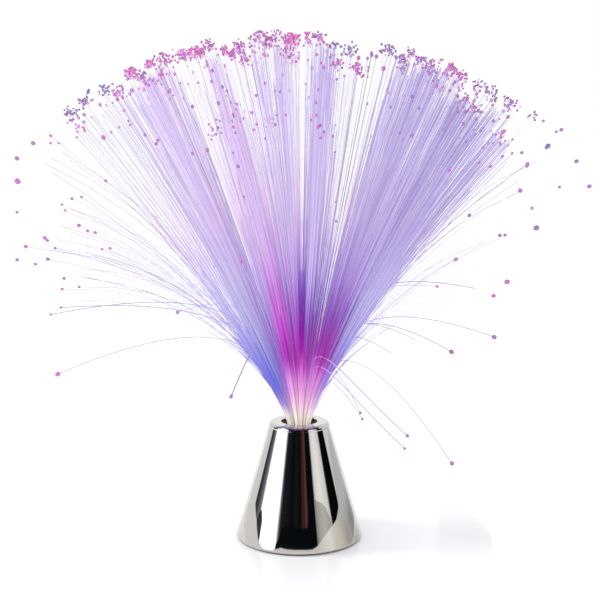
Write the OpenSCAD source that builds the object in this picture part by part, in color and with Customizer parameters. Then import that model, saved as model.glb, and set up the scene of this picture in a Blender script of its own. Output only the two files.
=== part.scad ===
// Battery fibre optic fountain lamp: a plated cone base with a plug-in spray of light fibres.
// Millimetres. The axis of the cone is Z, the table is z = 0, and the front of the lamp is -Y.

/* [Cone base] */
// Diameter of the cone at its foot
base_d = 78; // [74:0.5:90]
// Height of the cone's top above the table
base_h = 74; // [72:0.5:84]
// Diameter of the cone's flat top, over the rounded shoulder
neck_d = 38; // [36:0.5:42]
// Diameter of the hole that the fibres rise from
neck_hole_d = 22; // [21.6:0.1:23]
// Wall of the plated shell
shell_wall = 2; // [1.6:0.1:2.2]
// Height of the shell's lower edge above the table
rim_lift = 0.8; // [0.6:0.1:1.2]
// Radius of the rounded shoulder
shoulder_r = 3; // [2:0.1:4]
// Radius of the rolled edge of the hole
lip_r = 0.9; // [0.6:0.1:1.1]
// Rounding of the cone's lower edge
edge_r = 1.4; // [1:0.1:1.6]

/* [Fibre plug] */
// Outer diameter of the sleeve round the fibres
ferrule_d = 18.8; // [18:0.1:19]
// Length of that sleeve
ferrule_l = 29; // [24:0.5:30]
// Wall of that sleeve
ferrule_wall = 1; // [0.8:0.05:1.2]
// Radial running clearance between sleeve and socket
socket_gap = 0.1; // [0.05:0.01:0.1]

/* [Fibres] */
// Fibre tips that the solid carries
strand_n = 300; // [300:1:320]
// Width of one drawn strand
strand_w = 0.62; // [0.5:0.02:0.66]
// Width of the bead on each tip
bead_w = 2.4; // [1.6:0.1:3]
// Length of a fibre from the sleeve to its bead
fibre_l = 239; // [220:1:250]
// Farthest that any bead stands to either side of the axis
spray_reach = 178; // [160:1:185]
// Farthest that any bead stands in front of the axis or behind it
spray_depth = 150; // [140:1:160]
// Lean of the outermost dense strands to the front and back
fan_front = 36; // [30:1:38]
// Lowest angle of the stray outer strands, from straight up
droop_angle = 94; // [80:1:96]
// Height that the strands rise before they fan out
fan_rise = 17; // [15:0.5:19]

/* [Battery box] */
// Diameter of an AAA cell
cell_d = 10.5; // [10.2:0.1:10.5]
// Length of an AAA cell over its button
cell_l = 44.5; // [43.5:0.1:44.5]
// Gap between two cells
cell_gap = 0.6; // [0.4:0.05:0.7]
// Thickness of the base plate
plate_t = 1.8; // [1.6:0.1:2]
// Thickness of the battery door
door_t = 1.6; // [1.4:0.1:1.7]
// Gap round the battery door
door_gap = 0.3; // [0.2:0.05:0.4]
// Diameter of the door's hinge pins
hinge_pin_d = 1.4; // [1.2:0.05:1.5]
// Radial clearance of the hinge pins
hinge_gap = 0.08; // [0.05:0.01:0.1]

/* [Light and board] */
// Diameter of the round circuit board
board_d = 40; // [38:0.5:42]
// Thickness of the circuit board
board_t = 1.6; // [1.4:0.1:1.6]
// Diameter of an LED's lens
led_d = 5; // [4.8:0.1:5]
// Height of an LED over its flange
led_h = 8.6; // [8:0.1:8.7]
// Inner diameter of the white light cup
cup_d = 15.4; // [15.2:0.1:16]

/* [Switch and fixings] */
// Length of the slide switch's case
switch_l = 9; // [8.6:0.1:9.4]
// Width of the slide switch's case
switch_w = 5.2; // [5:0.1:5.4]
// Travel of the switch knob
switch_travel = 3; // [2:0.1:3]
// Diameter of the base plate's screws
base_screw_d = 2.6; // [2.4:0.1:2.8]
// Diameter of the board's and the switch's screws
small_screw_d = 1.8; // [1.6:0.1:1.9]
// Diameter of a rubber foot
foot_d = 8; // [7:0.1:8.4]
// Diameter of an insulated wire
wire_d = 1.2; // [1:0.1:1.3]

/* [Hidden] */
$fn = 48;
golden = 137.50776;
eps = 0.01;

// Heights, from the table up
plate_z = rim_lift + 1;
plate_top = plate_z + plate_t;
cell_z = plate_z + door_t + 0.4 + cell_d / 2;
roof_z = cell_z + cell_d / 2 + 0.4;
tray_roof_t = 1.4;
roof_top = roof_z + tray_roof_t;
board_post_h = 2.8;
board_z = roof_top + board_post_h;
board_top = board_z + board_t;
led_stand = 0.6;
collar_z = base_h - 35.5;
ledge_t = 2;
ferrule_z = collar_z + ledge_t;
tube_z = base_h - 9;
collar_top = base_h - 3;
core_z = ferrule_z + 0.3;
core_top = ferrule_z + ferrule_l - 2.5;
spray_z = core_top;
backing_t = 1.5;
strand_z = spray_z + backing_t;

// The cone and its cavity
foot_z = rim_lift + edge_r;
cone_r = base_d / 2;
neck_r = neck_d / 2;
cone_slope = (cone_r - neck_r) / (base_h - shoulder_r - foot_z);
cone_tilt = atan(cone_slope);
edge_x = cone_r - edge_r * (1 - cos(cone_tilt));
edge_z = foot_z + edge_r * sin(cone_tilt);
edge_steps = 7;
hole_r = neck_hole_d / 2;
tube_wall = 1.8;
function cone_at(z) = edge_x - cone_slope * (z - edge_z);
function cavity_at(z) = cone_at(z) - shell_wall;

// The battery tray
cell_pitch = cell_d + cell_gap;
bay_x = cell_pitch + cell_d / 2 + 0.35;
bay_y = cell_l / 2 + 2.3;
tray_wall = 1.7;
door_x = bay_x + 0.4;
hinge_y = -(bay_y + 2.6);
hinge_z = plate_z + door_t / 2 + 0.1;
latch_y = bay_y + 1.2;
tab_w = 14;
tab_l = 2.6;
plate_r = cavity_at(plate_top) - 0.4;

// Screws, switch and feet
base_screw_x = cone_r - 8;
boss_r = 3.1;
cup_r = 3.9;
head_r = 2.3;
head_h = 1.6;
seat_z = plate_z + 3.4;
boss_seat = seat_z - 1.6;
screw_bite = 0.03;
base_screw_l = 9;
small_head_r = 1.6;
small_head_h = 0.9;
small_screw_l = 4.4;
board_post_r = 14.5;
board_post_turn = [100, 236, 340];
switch_x = 22.3;
switch_h = 3.6;
ear_t = 0.6;
ear_l = 3.6;
switch_z = plate_top + 1;
ear_y = switch_l / 2 + ear_l / 2;
knob_w = 2.6;
knob_l = 3.2;
foot_ring_r = cone_r - 8;
foot_turn = [41, 139, 221, 319];
foot_sink = 0.6;

// The light source
led_ring_r = 3.9;
led_flange_d = led_d + 0.8;
cup_wall = 1.4;

// ---------- small helpers ----------

module ring(r_out, r_in, z0, z1) {
  translate([0, 0, z0]) difference() {
    cylinder(r = r_out, h = z1 - z0);
    translate([0, 0, -1]) cylinder(r = r_in, h = z1 - z0 + 2);
  }
}

module disc(r, z0, z1) {
  translate([0, 0, z0]) cylinder(r = r, h = z1 - z0);
}

module box(x0, x1, y0, y1, z0, z1) {
  translate([x0, y0, z0]) cube([x1 - x0, y1 - y0, z1 - z0]);
}

// A pan head screw with its head's top at z = 0, pointing up
module screw(shank_d, length, r, h) {
  difference() {
    cylinder(r = r, h = h);
    for (turn = [0, 90]) rotate([0, 0, turn])
      translate([-r * 0.6, -0.2, -1]) cube([r * 1.2, 0.4, 1 + h * 0.5]);
  }
  translate([0, 0, h - eps]) cylinder(r = shank_d / 2, h = length - 0.8 + eps);
  translate([0, 0, h + length - 0.8]) cylinder(r1 = shank_d / 2, r2 = shank_d / 5, h = 0.8);
}

// A round wire through the given points, a little thicker at its bends
module wire_path(points) {
  for (i = [0 : len(points) - 2]) {
    run = points[i + 1] - points[i];
    flat = norm([run[0], run[1]]);
    translate(points[i]) rotate([0, atan2(flat, run[2]), atan2(run[1], run[0])])
      cylinder(d = wire_d, h = norm(run));
    if (i > 0) translate(points[i]) sphere(d = wire_d + 0.12);
  }
}

// ---------- cone base ----------

module cone_outline() {
  turn_z = base_h - shoulder_r;
  turn_x = cone_at(turn_z) - shoulder_r;
  polygon(concat(
    [[0, rim_lift]],
    [for (k = [0 : edge_steps]) let (a = -90 + k / edge_steps * (90 + cone_tilt))
      [cone_r - edge_r + edge_r * cos(a), foot_z + edge_r * sin(a)]],
    [for (a = [0 : 15 : 90]) [turn_x + shoulder_r * cos(a), turn_z + shoulder_r * sin(a)]],
    [[0, base_h]]));
}

module cone_solid() {
  rotate_extrude() cone_outline();
}

module cone_cavity() {
  low = rim_lift - 1;
  rotate_extrude() polygon([
    [0, low],
    [cavity_at(foot_z), low],
    [cavity_at(foot_z), foot_z],
    [cavity_at(base_h - shoulder_r), base_h - shoulder_r],
    [neck_r - shoulder_r - 0.6, base_h - shell_wall],
    [0, base_h - shell_wall]]);
}

module cone_shell() {
  color([0.82, 0.82, 0.84]) difference() {
    union() {
      difference() {
        cone_solid();
        cone_cavity();
      }
      ring(hole_r + tube_wall, hole_r, tube_z, base_h - 1);
      intersection() {
        cone_solid();
        for (side = [0, 180]) rotate([0, 0, side]) {
          translate([base_screw_x, 0, seat_z]) cylinder(r = boss_r, h = 15);
          box(base_screw_x, cone_r, -1, 1, seat_z, seat_z + 15);
        }
      }
    }
    disc(hole_r, tube_z - 1, base_h + 1);
    translate([0, 0, base_h - lip_r]) rotate_extrude() difference() {
      translate([hole_r - 1, 0]) square([1 + lip_r, lip_r + 1]);
      translate([hole_r + lip_r, 0]) circle(r = lip_r);
    }
    for (side = [-1, 1]) translate([side * base_screw_x, 0, seat_z - 1])
      cylinder(r = base_screw_d / 2 + screw_bite, h = base_screw_l + 2);
  }
}

// ---------- neck socket and fibre plug ----------

module neck_collar() {
  bore = ferrule_d / 2 + socket_gap;
  body_r = hole_r - 0.2;
  color([0.05, 0.05, 0.06]) rotate_extrude() polygon([
    [ferrule_d / 2 - 1.9, collar_z],
    [body_r, collar_z],
    [body_r, tube_z - 2],
    [hole_r + tube_wall, tube_z - 2],
    [hole_r + tube_wall, tube_z],
    [body_r, tube_z],
    [body_r, collar_top],
    [bore + 0.5, collar_top],
    [bore, collar_top - 0.5],
    [bore, ferrule_z],
    [ferrule_d / 2 - 1.9, ferrule_z]]);
}

module ferrule() {
  color([0.07, 0.07, 0.08]) rotate_extrude() polygon([
    [ferrule_d / 2 - ferrule_wall, ferrule_z],
    [ferrule_d / 2 - 0.6, ferrule_z],
    [ferrule_d / 2, ferrule_z + 0.8],
    [ferrule_d / 2, ferrule_z + ferrule_l - 0.4],
    [ferrule_d / 2 - 0.4, ferrule_z + ferrule_l],
    [ferrule_d / 2 - ferrule_wall, ferrule_z + ferrule_l]]);
}

core_r = ferrule_d / 2 - ferrule_wall - 0.05;

module bundle_core() {
  color([0.93, 0.9, 0.88]) disc(core_r, core_z, core_top);
}

// ---------- fibre spray: a fountain of strands with a bead on each tip ----------

// Strands leave in a sunflower pattern. Those of one slice of it, from left to right, gather in one
// ribbon, and every lean grows with the place in the pattern, so none cross.
root_r = core_r - 0.55;
outer_n = 34;
inner_n = strand_n - outer_n;
neck_back = 2.6;
bead_back = 1.1;
end_speed = 1.8;
// The lean of each ribbon's middle to the right, and the width of the ribbon, in degrees
ribbon_mid = [-32, -23.4, -14.6, -9.6, -2.4, 3.8, 16.4, 21.2, 27, 34];
ribbon_wide = [5.5, 5.2, 4, 3.4, 3.2, 4.2, 4.6, 4.6, 4.4, 3.6];
stray_angle = 40;
function part_of(v) = v - floor(v);
function unit(v) = v / norm(v);
function strand_turn(i) = i * golden;
function root_place(i) =
  sqrt((i + 0.5) / strand_n) * [cos(strand_turn(i)), sin(strand_turn(i)), 0];
function root_point(i) = root_r * root_place(i) + [0, 0, strand_z];
// Dense strands: the ribbon that the place falls in, and the way that the strand points in it
function ribbon_place(u) = (u + 1) / 2 * len(ribbon_mid);
function side_lean(u) = let (k = min(floor(ribbon_place(u)), len(ribbon_mid) - 1))
  ribbon_mid[k] + ribbon_wide[k] * (ribbon_place(u) - k - 0.5);
function front_lean(v) = fan_front * v * pow(abs(v), 0.3);
function dense_way(p) = unit([tan(side_lean(p[0])), tan(front_lean(p[1])), 1]);
// Stray strands lean out round the fan, down to the lowest angle
function stray_lean(i) =
  stray_angle + (droop_angle - stray_angle) * part_of((i - inner_n) * 0.618 + 0.3);
function stray_way(i) = [
  sin(stray_lean(i)) * cos(strand_turn(i)), sin(stray_lean(i)) * sin(strand_turn(i)), cos(stray_lean(i))];
function stray(i) = i >= inner_n;
function tip_way(i) = stray(i) ? stray_way(i) : dense_way(root_place(i));
// Most strands reach the fan's outline, and some end inside it
function tip_share(i) = 1 - 0.16 * pow(part_of(i * 0.618), 3);
function tip_dist(i) = min(fibre_l * tip_share(i), spray_reach / max(abs(tip_way(i)[0]), eps),
  spray_depth / max(abs(tip_way(i)[1]), eps));
function tip_point(i) = [0, 0, strand_z] + tip_dist(i) * tip_way(i);
// How much straighter up a strand starts than its tip points, and how far it rises before it bends
function bow(i) = 0.06 + (stray(i) ? (stray_lean(i) - 36) / 100 : 0);
function rise_of(i) = fan_rise
  * (stray(i) ? 0.85 + (stray_lean(i) - 36) / 40 : 1.15 - 0.3 * norm(root_place(i)));
function lift_point(i) =
  root_point(i) + rise_of(i) * [0.15 * tip_way(i)[0], 0.15 * tip_way(i)[1], 1];
function bend_point(i) = [0, 0, strand_z] + 0.4 * tip_dist(i) * unit(tip_way(i) + [0, 0, bow(i)]);
function strand_point(i, t) = pow(1 - t, 3) * root_point(i) + 3 * t * pow(1 - t, 2) * lift_point(i)
  + 3 * t * t * (1 - t) * bend_point(i) + pow(t, 3) * tip_point(i);
// One three-sided ring round the strand, w wide
function strand_ring(i, t, w) = let (
    way = unit(strand_point(i, t + 0.02) - strand_point(i, t - 0.02)),
    turn = [-sin(strand_turn(i)), cos(strand_turn(i)), 0],
    side = unit(turn - (turn * way) * way),
    up = cross(side, way))
  [for (k = [0, 120, 240]) strand_point(i, t) - w / 2 * (cos(k) * up - sin(k) * side)];
// The root ring lies flat on the backing
function root_ring(i) = let (a = strand_turn(i))
  [for (k = [0, 120, 240]) root_point(i)
    - strand_w / 2 * [cos(k) * cos(a) + sin(k) * sin(a), cos(k) * sin(a) - sin(k) * cos(a), 0]];
// The dense strands are nearly straight above the bundle, so they need one middle ring less
function mid_rings(i) = stray(i) ? [0.2, 0.55] : [0.2];
function strand_rings(i) = concat([root_ring(i)],
  [for (t = mid_rings(i)) strand_ring(i, t, strand_w)],
  [strand_ring(i, 1 - neck_back / tip_dist(i) / end_speed, strand_w),
    strand_ring(i, 1 - bead_back / tip_dist(i) / end_speed, bead_w)]);

module strand(i) {
  rings = strand_rings(i);
  last = len(rings) - 1;
  points = concat([for (r = rings) for (p = r) p], [tip_point(i)]);
  faces = concat(
    [[0, 2, 1]],
    [for (r = [0 : last - 1], k = [0 : 2]) [r * 3 + k, r * 3 + (k + 1) % 3, r * 3 + 3 + k]],
    [for (r = [0 : last - 1], k = [0 : 2])
      [r * 3 + (k + 1) % 3, r * 3 + 3 + (k + 1) % 3, r * 3 + 3 + k]],
    [for (k = [0 : 2]) [last * 3 + k, last * 3 + (k + 1) % 3, last * 3 + 3]]);
  polyhedron(points = points, faces = faces);
}

module fibre_spray() {
  // The strands and their backing are joined as one mesh; the zeros leave every size as it is
  color([0.75, 0.62, 0.9]) resize([0, 0, 0]) union() {
    translate([0, 0, spray_z]) cylinder(r = core_r, h = backing_t, $fn = 36);
    for (i = [0 : strand_n - 1]) strand(i);
  }
}

// ---------- light source ----------

module light_cup() {
  color([0.94, 0.94, 0.92]) difference() {
    union() {
      ring(cup_d / 2 + cup_wall, cup_d / 2, board_top, collar_z);
      ring(cup_d / 2 + cup_wall + 1.6, cup_d / 2, board_top, board_top + 1.2);
    }
    for (turn = [30, 150, 270]) rotate([0, 0, turn])
      box(0, cup_d, -1.5, 1.5, collar_z - 3, collar_z + 1);
  }
}

module led(turn, tint) {
  foot = board_top + led_stand;
  r = led_d / 2;
  color(tint) rotate([0, 0, turn]) translate([led_ring_r, 0, 0]) {
    translate([0, 0, foot]) cylinder(d = led_flange_d, h = 1);
    translate([0, 0, foot]) cylinder(r = r, h = led_h - r);
    translate([0, 0, foot + led_h - r]) sphere(r = r);
    for (side = [-1, 1]) box(-0.25, 0.25, side * 1.27 - 0.25, side * 1.27 + 0.25, board_z - 1, foot + 1);
  }
}

module led_red() {
  led(90, [0.9, 0.25, 0.22]);
}

module led_green() {
  led(210, [0.25, 0.8, 0.3]);
}

module led_blue() {
  led(330, [0.25, 0.35, 0.95]);
}

module board_holes() {
  for (turn = board_post_turn) rotate([0, 0, turn]) translate([board_post_r, 0, board_z - 1])
    cylinder(r = small_screw_d / 2 + 0.15, h = board_t + 2);
  for (turn = [90, 210, 330], side = [-1, 1]) rotate([0, 0, turn])
    translate([led_ring_r, side * 1.27, board_z - 1]) cylinder(r = 0.5, h = board_t + 2);
}

module circuit_board() {
  color([0.1, 0.4, 0.22]) difference() {
    disc(board_d / 2, board_z, board_top);
    board_holes();
  }
}

chip_x = -14;
chip_y = 5.5;

module controller_chip() {
  color([0.1, 0.1, 0.11]) {
    box(chip_x - 2, chip_x + 2, chip_y - 2.5, chip_y + 2.5, board_top + 0.1, board_top + 1.6);
    for (k = [-1.5 : 1 : 1.5], side = [-1, 1])
      box(chip_x + side * 2.5 - 0.6, chip_x + side * 2.5 + 0.6, chip_y + k * 1.27 - 0.2,
        chip_y + k * 1.27 + 0.2, board_top, board_top + 0.5);
  }
}

module resistors() {
  color([0.75, 0.62, 0.42]) for (k = [-1 : 1]) translate([-14 - abs(k) * -1.2, k * 3.2 - 7.4, board_top]) {
    translate([-1.6, 0, 1]) rotate([0, 90, 0]) cylinder(r = 0.9, h = 3.2);
    for (side = [-1, 1]) box(side * 2 - 0.5, side * 2 + 0.5, -0.25, 0.25, 0, 1.2);
  }
}

// ---------- base plate, battery box and door ----------

module door_outline(grow) {
  union() {
    translate([-door_x - grow, -bay_y - 0.6 - grow])
      square([2 * (door_x + grow), 2 * (bay_y + 0.6 + grow)]);
    translate([-tab_w / 2 - grow, hinge_y])
      square([tab_w + 2 * grow, 4]);
    translate([-tab_w / 2 - grow, latch_y - 2])
      square([tab_w + 2 * grow, tab_l + 2 + grow]);
  }
}

module base_plate() {
  color([0.09, 0.09, 0.1]) difference() {
    union() {
      disc(plate_r, plate_z, plate_top);
      box(-bay_x - tray_wall, bay_x + tray_wall, -bay_y - tray_wall, bay_y + tray_wall,
        plate_top - 0.6, roof_top);
      for (turn = board_post_turn) rotate([0, 0, turn]) translate([board_post_r, 0, roof_top - eps])
        cylinder(r = 2.3, h = board_post_h + eps);
      for (side = [-1, 1]) translate([side * base_screw_x, 0, plate_z])
        cylinder(r = cup_r, h = seat_z - plate_z);
      for (side = [-1, 1]) translate([switch_x, side * ear_y, plate_top - eps])
        cylinder(r = 1.8, h = switch_z - plate_top + eps);
    }
    // battery bay, open below, with ribs left between the cells
    difference() {
      box(-bay_x, bay_x, -bay_y, bay_y, plate_top - 1, roof_z);
      for (side = [-1, 1]) box(side * cell_pitch / 2 - 0.5, side * cell_pitch / 2 + 0.5,
        -bay_y + 6, bay_y - 6, roof_z - 1.8, roof_z + 1);
    }
    translate([0, 0, plate_z - 1]) linear_extrude(plate_t + 1) door_outline(door_gap);
    // the round back of the hinge edge and its two pin sockets
    translate([-tab_w / 2 - door_gap, hinge_y, hinge_z]) rotate([0, 90, 0])
      cylinder(r = door_t / 2 + door_gap, h = tab_w + 2 * door_gap);
    translate([-tab_w / 2 - 2.4, hinge_y, hinge_z]) rotate([0, 90, 0])
      cylinder(r = hinge_pin_d / 2 + hinge_gap, h = tab_w + 4.8);
    box(-tab_w / 2 - door_gap, tab_w / 2 + door_gap, hinge_y - door_t / 2 - door_gap, hinge_y,
      plate_z - 1, hinge_z);
    // solder tab slots in the roof
    for (k = [-1 : 1], side = [-1, 1])
      box(k * cell_pitch - 1.3, k * cell_pitch + 1.3, side * (bay_y - 0.35) - 0.35,
        side * (bay_y - 0.35) + 0.35, roof_z - 1, roof_top + 1);
    for (side = [-1, 1]) translate([side * base_screw_x, 0, plate_z - 1]) {
      cylinder(r = head_r + 0.35, h = 1 + boss_seat - plate_z);
      cylinder(r = base_screw_d / 2 + 0.2, h = 6);
    }
    for (turn = board_post_turn) rotate([0, 0, turn]) translate([board_post_r, 0, roof_top - 0.6])
      cylinder(r = small_screw_d / 2 + screw_bite, h = board_post_h + 1);
    for (side = [-1, 1]) translate([switch_x, side * ear_y, plate_z + 0.4])
      cylinder(r = small_screw_d / 2 + screw_bite, h = 4);
    // slot for the switch knob in a shallow finger hollow
    box(switch_x - knob_w / 2 - 0.3, switch_x + knob_w / 2 + 0.3,
      -(knob_l + switch_travel) / 2 - 0.3, (knob_l + switch_travel) / 2 + 0.3, plate_z - 1, plate_top + 1);
    box(switch_x - 2.6, switch_x + 2.6, -5, 5, plate_z - 1, plate_z + 0.6);
    for (turn = foot_turn) rotate([0, 0, turn]) translate([foot_ring_r, 0, plate_z - 1])
      cylinder(r = foot_d / 2 + 0.1, h = 1 + foot_sink);
  }
}

module battery_door() {
  grip_n = 3;
  color([0.1, 0.1, 0.11]) difference() {
    union() {
      translate([0, 0, hinge_z - door_t / 2]) linear_extrude(door_t) door_outline(0);
      translate([-tab_w / 2, hinge_y, hinge_z]) rotate([0, 90, 0])
        cylinder(r = door_t / 2, h = tab_w);
      translate([-tab_w / 2 - 2, hinge_y, hinge_z]) rotate([0, 90, 0])
        cylinder(r = hinge_pin_d / 2, h = tab_w + 4);
    }
    // grip grooves, and the slots that free the latch tab
    for (k = [0 : grip_n - 1])
      box(-5, 5, latch_y - 7 + k * 2, latch_y - 6 + k * 2, plate_z - 1, hinge_z - door_t / 2 + 0.5);
    for (side = [-1, 1])
      box(side * (tab_w / 2 + 0.6) - 0.5, side * (tab_w / 2 + 0.6) + 0.5, latch_y - 7,
        latch_y + tab_l + 1, plate_z - 1, plate_top + 1);
  }
}

// ---------- cells and contacts ----------

// The cells lie head to tail, each pushed by its spring against the contact at its button
cell_shift = 1.5;
function minus_side(k) = k % 2 == 0 ? -1 : 1;

module cell(k) {
  side = minus_side(k);
  color([0.2, 0.42, 0.7]) translate([k * cell_pitch, -side * cell_shift, cell_z])
    rotate([side * 90, 0, 0])
    translate([0, 0, -cell_l / 2]) rotate_extrude() polygon([
      [0, 0], [cell_d / 2 - 0.6, 0], [cell_d / 2, 0.5], [cell_d / 2, cell_l - 1.5],
      [cell_d / 2 - 0.6, cell_l - 1], [1.9, cell_l - 1], [1.9, cell_l], [0, cell_l]]);
}

module battery_1() {
  cell(-1);
}

module battery_2() {
  cell(0);
}

module battery_3() {
  cell(1);
}

contact_t = 0.4;
contact_w = 8.4;
contact_drop = 4;
solder_tab_w = 2;
solder_tab_h = 1.4;

module contact_plates() {
  color([0.8, 0.8, 0.78]) for (k = [-1 : 1], side = [-1, 1]) {
    inner = side * (bay_y - 0.5);
    box(k * cell_pitch - contact_w / 2, k * cell_pitch + contact_w / 2,
      inner - contact_t / 2, inner + contact_t / 2, cell_z - contact_drop, roof_z - 0.3);
    box(k * cell_pitch - solder_tab_w / 2, k * cell_pitch + solder_tab_w / 2,
      inner - contact_t / 2, inner + contact_t / 2, roof_z - 0.4, roof_top + solder_tab_h);
  }
}

// A conical spring of two turns, as one unbroken tube
spring_wire = 0.5;
spring_room = bay_y - 0.5 - contact_t / 2 - cell_l / 2 + cell_shift;
spring_turns = 2;
spring_rings = 10;
spring_step = (spring_room - spring_wire) / spring_turns;
spring_foot_r = 3.8;
spring_tip_r = 1.8;
function coil_r(t) = spring_foot_r - (spring_foot_r - spring_tip_r) * t / spring_turns;
function coil_point(t) = [coil_r(t) * cos(360 * t), coil_r(t) * sin(360 * t),
  spring_wire / 2 + spring_step * t];
function coil_ring(t) = let (a = 360 * t, p = coil_point(t))
  [for (k = [0 : 60 : 300]) p + spring_wire / 2 * (cos(k) * [cos(a), sin(a), 0] + [0, 0, sin(k)])];
turn_gap = norm([coil_r(0) - coil_r(1), spring_step]) - spring_wire;
echo(least_gap_between_turns = turn_gap);

module coil_spring() {
  last = spring_turns * spring_rings;
  points = [for (s = [0 : last]) for (p = coil_ring(s / spring_rings)) p];
  faces = concat(
    [for (k = [1 : 4]) [0, k + 1, k]],
    [for (s = [0 : last - 1], k = [0 : 5]) [s * 6 + k, s * 6 + (k + 1) % 6, s * 6 + 6 + k]],
    [for (s = [0 : last - 1], k = [0 : 5])
      [s * 6 + (k + 1) % 6, s * 6 + 6 + (k + 1) % 6, s * 6 + 6 + k]],
    [for (k = [1 : 4]) [last * 6, last * 6 + k, last * 6 + k + 1]]);
  polyhedron(points = points, faces = faces);
}

module battery_springs() {
  color([0.78, 0.78, 0.76]) for (k = [-1 : 1]) {
    side = minus_side(k);
    translate([k * cell_pitch, side * (bay_y - 0.5 - contact_t / 2), cell_z])
      rotate([side * 90, 0, 0]) coil_spring();
  }
}

// ---------- switch, screws, feet and wires ----------

knob_rest = -switch_travel / 2;

module switch_body() {
  low = switch_z;
  color([0.55, 0.56, 0.58]) difference() {
    union() {
      box(switch_x - switch_w / 2, switch_x + switch_w / 2, -switch_l / 2, switch_l / 2,
        low, low + switch_h);
      box(switch_x - 1.9, switch_x + 1.9, -switch_l / 2 - ear_l, switch_l / 2 + ear_l, low, low + ear_t);
      for (k = [-1 : 1]) box(switch_x - 0.2, switch_x + 0.2, k * 2.5 - 0.5, k * 2.5 + 0.5,
        low + switch_h - eps, low + switch_h + 2);
    }
    box(switch_x - knob_w / 2 - 0.4, switch_x + knob_w / 2 + 0.4, -(knob_l + switch_travel) / 2 - 0.4,
      (knob_l + switch_travel) / 2 + 0.4, low - 1, low + 2.4);
    for (side = [-1, 1]) translate([switch_x, side * ear_y, low - 1])
      cylinder(r = small_screw_d / 2 + 0.15, h = 3);
  }
}

module switch_knob() {
  color([0.12, 0.12, 0.13]) difference() {
    box(switch_x - knob_w / 2, switch_x + knob_w / 2, knob_rest - knob_l / 2, knob_rest + knob_l / 2,
      plate_z - 0.5, switch_z + 2);
    for (k = [-1 : 1]) box(switch_x - knob_w, switch_x + knob_w, knob_rest + k - 0.2, knob_rest + k + 0.2,
      plate_z - 1, plate_z - 0.2);
  }
}

module small_screws() {
  color([0.75, 0.75, 0.77]) {
    for (turn = board_post_turn) rotate([0, 0, turn])
      translate([board_post_r, 0, board_top + small_head_h]) rotate([180, 0, 0])
        screw(small_screw_d, small_screw_l, small_head_r, small_head_h);
    for (side = [-1, 1]) translate([switch_x, side * ear_y, switch_z + ear_t + small_head_h])
      rotate([180, 0, 0]) screw(small_screw_d, switch_z + ear_t - plate_z - 0.6, small_head_r, small_head_h);
  }
}

module base_screws() {
  color([0.7, 0.7, 0.72]) for (side = [-1, 1])
    translate([side * base_screw_x, 0, boss_seat - head_h])
      screw(base_screw_d, base_screw_l, head_r, head_h);
}

module rubber_feet() {
  foot_h = plate_z + foot_sink;
  color([0.12, 0.12, 0.12]) for (turn = foot_turn) rotate([0, 0, turn]) translate([foot_ring_r, 0, 0]) {
    translate([0, 0, 0.5]) cylinder(d = foot_d, h = foot_h - 0.5);
    cylinder(r1 = foot_d / 2 - 0.5, r2 = foot_d / 2, h = 0.5);
  }
}

tab_top = roof_top + 0.6;
lead_y = bay_y - 0.5 - contact_t / 2 - wire_d / 2;
pad_x = board_d / 2 - 2.8;
wire_lift = board_top + 2;

module wire_red() {
  color([0.8, 0.1, 0.1]) wire_path([
    [cell_pitch, lead_y, tab_top],
    [cell_pitch, lead_y, wire_lift],
    [9.6, 15, wire_lift],
    [9.6, 15, board_top]]);
}

module wire_black() {
  color([0.06, 0.06, 0.06]) wire_path([
    [-cell_pitch, lead_y, tab_top],
    [-cell_pitch, lead_y, wire_lift],
    [-8, 16, wire_lift],
    [-8, 16, board_top]]);
}

module switch_wires() {
  top = switch_z + switch_h + 0.6;
  color([0.85, 0.75, 0.2]) for (k = [-1, 0]) wire_path([
    [switch_x + 0.2 + wire_d / 2, k * 2.5, top],
    [switch_x + 0.2 + wire_d / 2, k * 2.5, wire_lift],
    [pad_x, k * 2.5 + 2, wire_lift],
    [pad_x, k * 2.5 + 2, board_top]]);
}

cone_shell();
neck_collar();
ferrule();
bundle_core();
fibre_spray();
light_cup();
led_red();
led_green();
led_blue();
circuit_board();
controller_chip();
resistors();
small_screws();
base_screws();
base_plate();
battery_door();
battery_1();
battery_2();
battery_3();
battery_springs();
contact_plates();
switch_body();
switch_knob();
rubber_feet();
wire_red();
wire_black();
switch_wires();
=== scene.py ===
"""Looks of the fibre optic fountain lamp: plated cone, lit fibres with beads, parts under the base, and the studio.

Metres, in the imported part's frame: +Z up on the cone's axis, the table at z = 0, and the front towards -Y.
Leans and turns in the tables are in degrees as seen from the front, + to the right.
"""

import math

import bmesh
import bpy
import numpy as np
from bpy.props import FloatProperty, IntProperty, PointerProperty
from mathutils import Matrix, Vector


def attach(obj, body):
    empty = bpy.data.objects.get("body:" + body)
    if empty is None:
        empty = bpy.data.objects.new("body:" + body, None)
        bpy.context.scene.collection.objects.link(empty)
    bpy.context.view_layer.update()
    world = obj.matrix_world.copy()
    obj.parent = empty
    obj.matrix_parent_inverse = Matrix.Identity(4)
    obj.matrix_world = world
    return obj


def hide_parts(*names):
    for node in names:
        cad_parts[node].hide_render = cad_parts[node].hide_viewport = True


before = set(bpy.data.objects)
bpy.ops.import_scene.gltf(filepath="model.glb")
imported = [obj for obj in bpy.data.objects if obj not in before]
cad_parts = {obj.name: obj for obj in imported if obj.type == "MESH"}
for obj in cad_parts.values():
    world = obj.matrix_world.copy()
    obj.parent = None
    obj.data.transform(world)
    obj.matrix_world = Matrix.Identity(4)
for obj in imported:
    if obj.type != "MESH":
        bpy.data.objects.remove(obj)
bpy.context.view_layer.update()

bl_info = {
    "name": "Fibre lamp dresser",
    "version": (1, 0, 0),
    "blender": (4, 5, 0),
    "location": "3D View > Sidebar > Fibre lamp",
    "description": "Dresses the packed fibre optic lamp and sets its studio",
    "category": "Object",
}

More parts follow.
